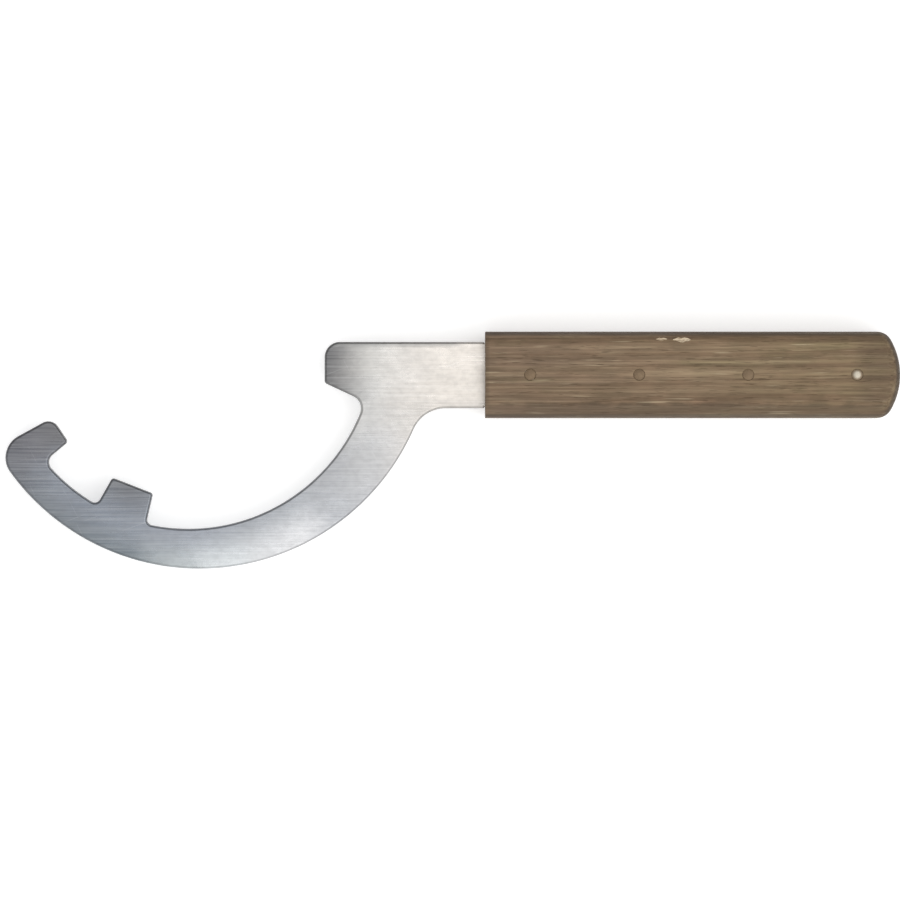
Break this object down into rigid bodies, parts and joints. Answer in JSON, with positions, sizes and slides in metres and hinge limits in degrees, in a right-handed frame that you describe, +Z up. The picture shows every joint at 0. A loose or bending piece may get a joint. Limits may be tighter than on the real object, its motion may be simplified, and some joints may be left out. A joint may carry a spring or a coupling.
{
  "type": "hook spanner",
  "caption": "Flat steel hook spanner with an open arc jaw, a turned-in claw, a square lug, a nose tooth and a straight riveted wooden handle.",
  "frame": {"origin": "centre of the tool's box in plan, on the surface that the handle lies on", "axes": "+X along the handle from the hook to the butt; +Y towards the neck's straight top edge; +Z up, square to the flat plate"},
  "size_m": [0.28, 0.0742, 0.022],
  "materials": {
    "bright_steel": "ground flat and polished, darkened at the claw, lug and nose tips",
    "brown_wood": "oiled hardwood with fine grain along the handle",
    "pin_steel": "peened flush and filed"
  },
  "bodies": {
    "root": {"hook_plate": "bright_steel", "front_scale": "brown_wood", "back_scale": "brown_wood", "pin_1": "pin_steel", "pin_2": "pin_steel", "pin_3": "pin_steel", "pin_4": "pin_steel"}
  },
  "joints": []
}
